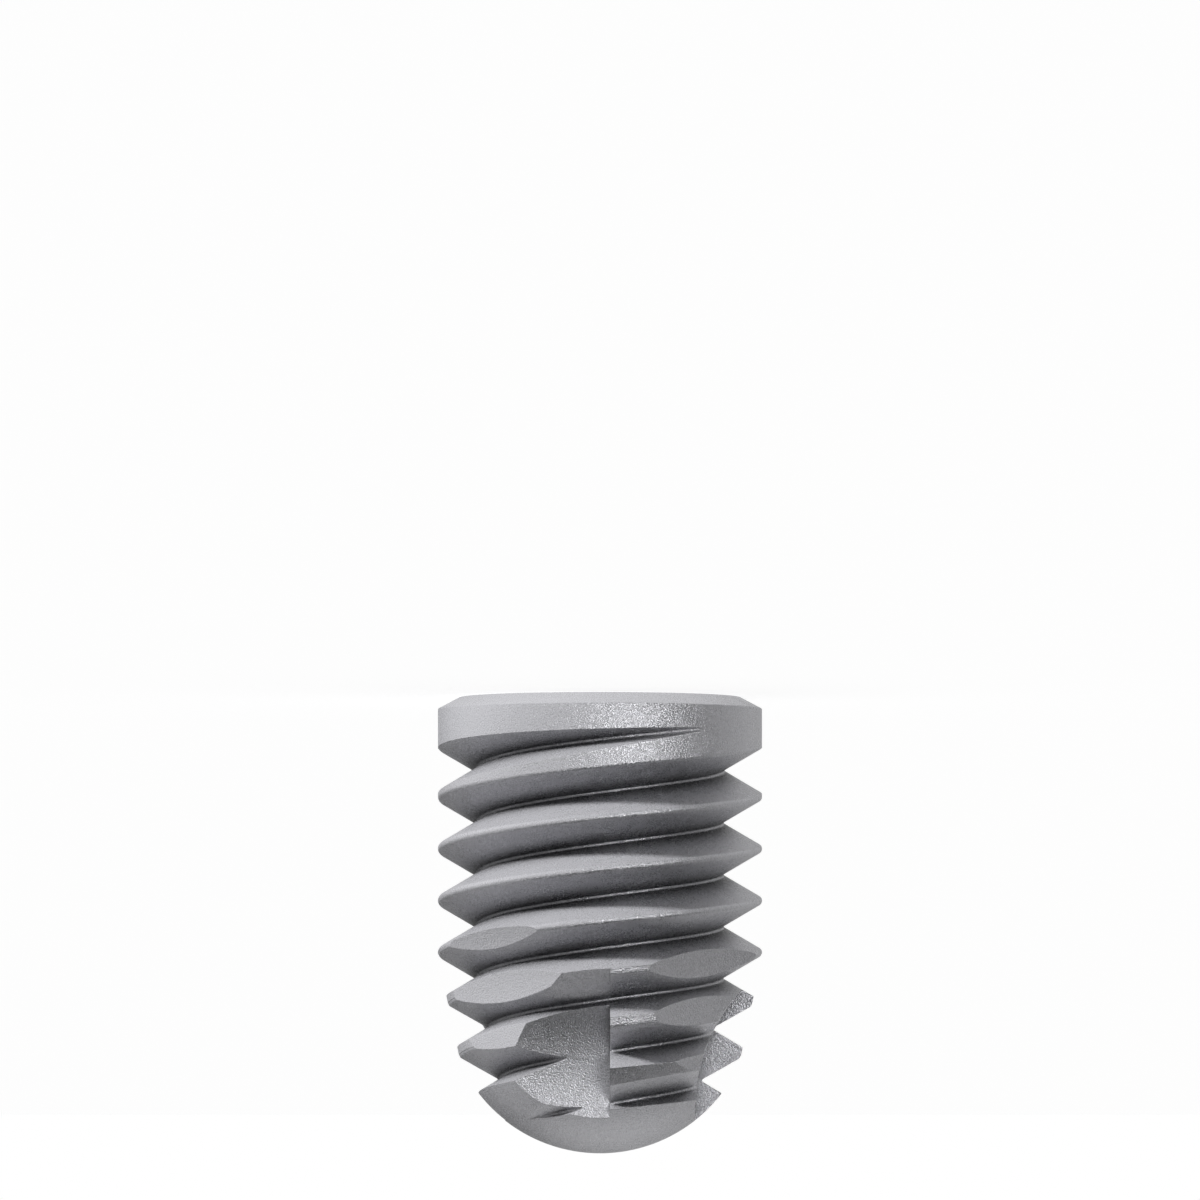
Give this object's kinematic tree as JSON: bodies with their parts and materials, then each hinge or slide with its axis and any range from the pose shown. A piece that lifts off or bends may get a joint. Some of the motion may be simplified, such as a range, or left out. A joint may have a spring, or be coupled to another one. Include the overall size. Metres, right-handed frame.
{
  "type": "dental implant",
  "caption": "Short threaded titanium implant with a flat platform, an internal hex socket and screw bore, and cutting flutes round its rounded tip.",
  "frame": {"origin": "centre of the platform, the flat face that carries the abutment, on which the implant stands here, head down", "axes": "+Z along the implant's axis from the platform to the rounded tip; the flat wall of one cutting flute faces +X and lies 0.13 mm to the -X side of the axis, on the -Y side of the implant"},
  "size_m": [0.0042, 0.0042, 0.0059],
  "materials": {
    "titanium": "blasted and etched titanium, matt light grey with a fine grain"
  },
  "bodies": {
    "root": {"implant_body": "titanium"}
  },
  "joints": []
}
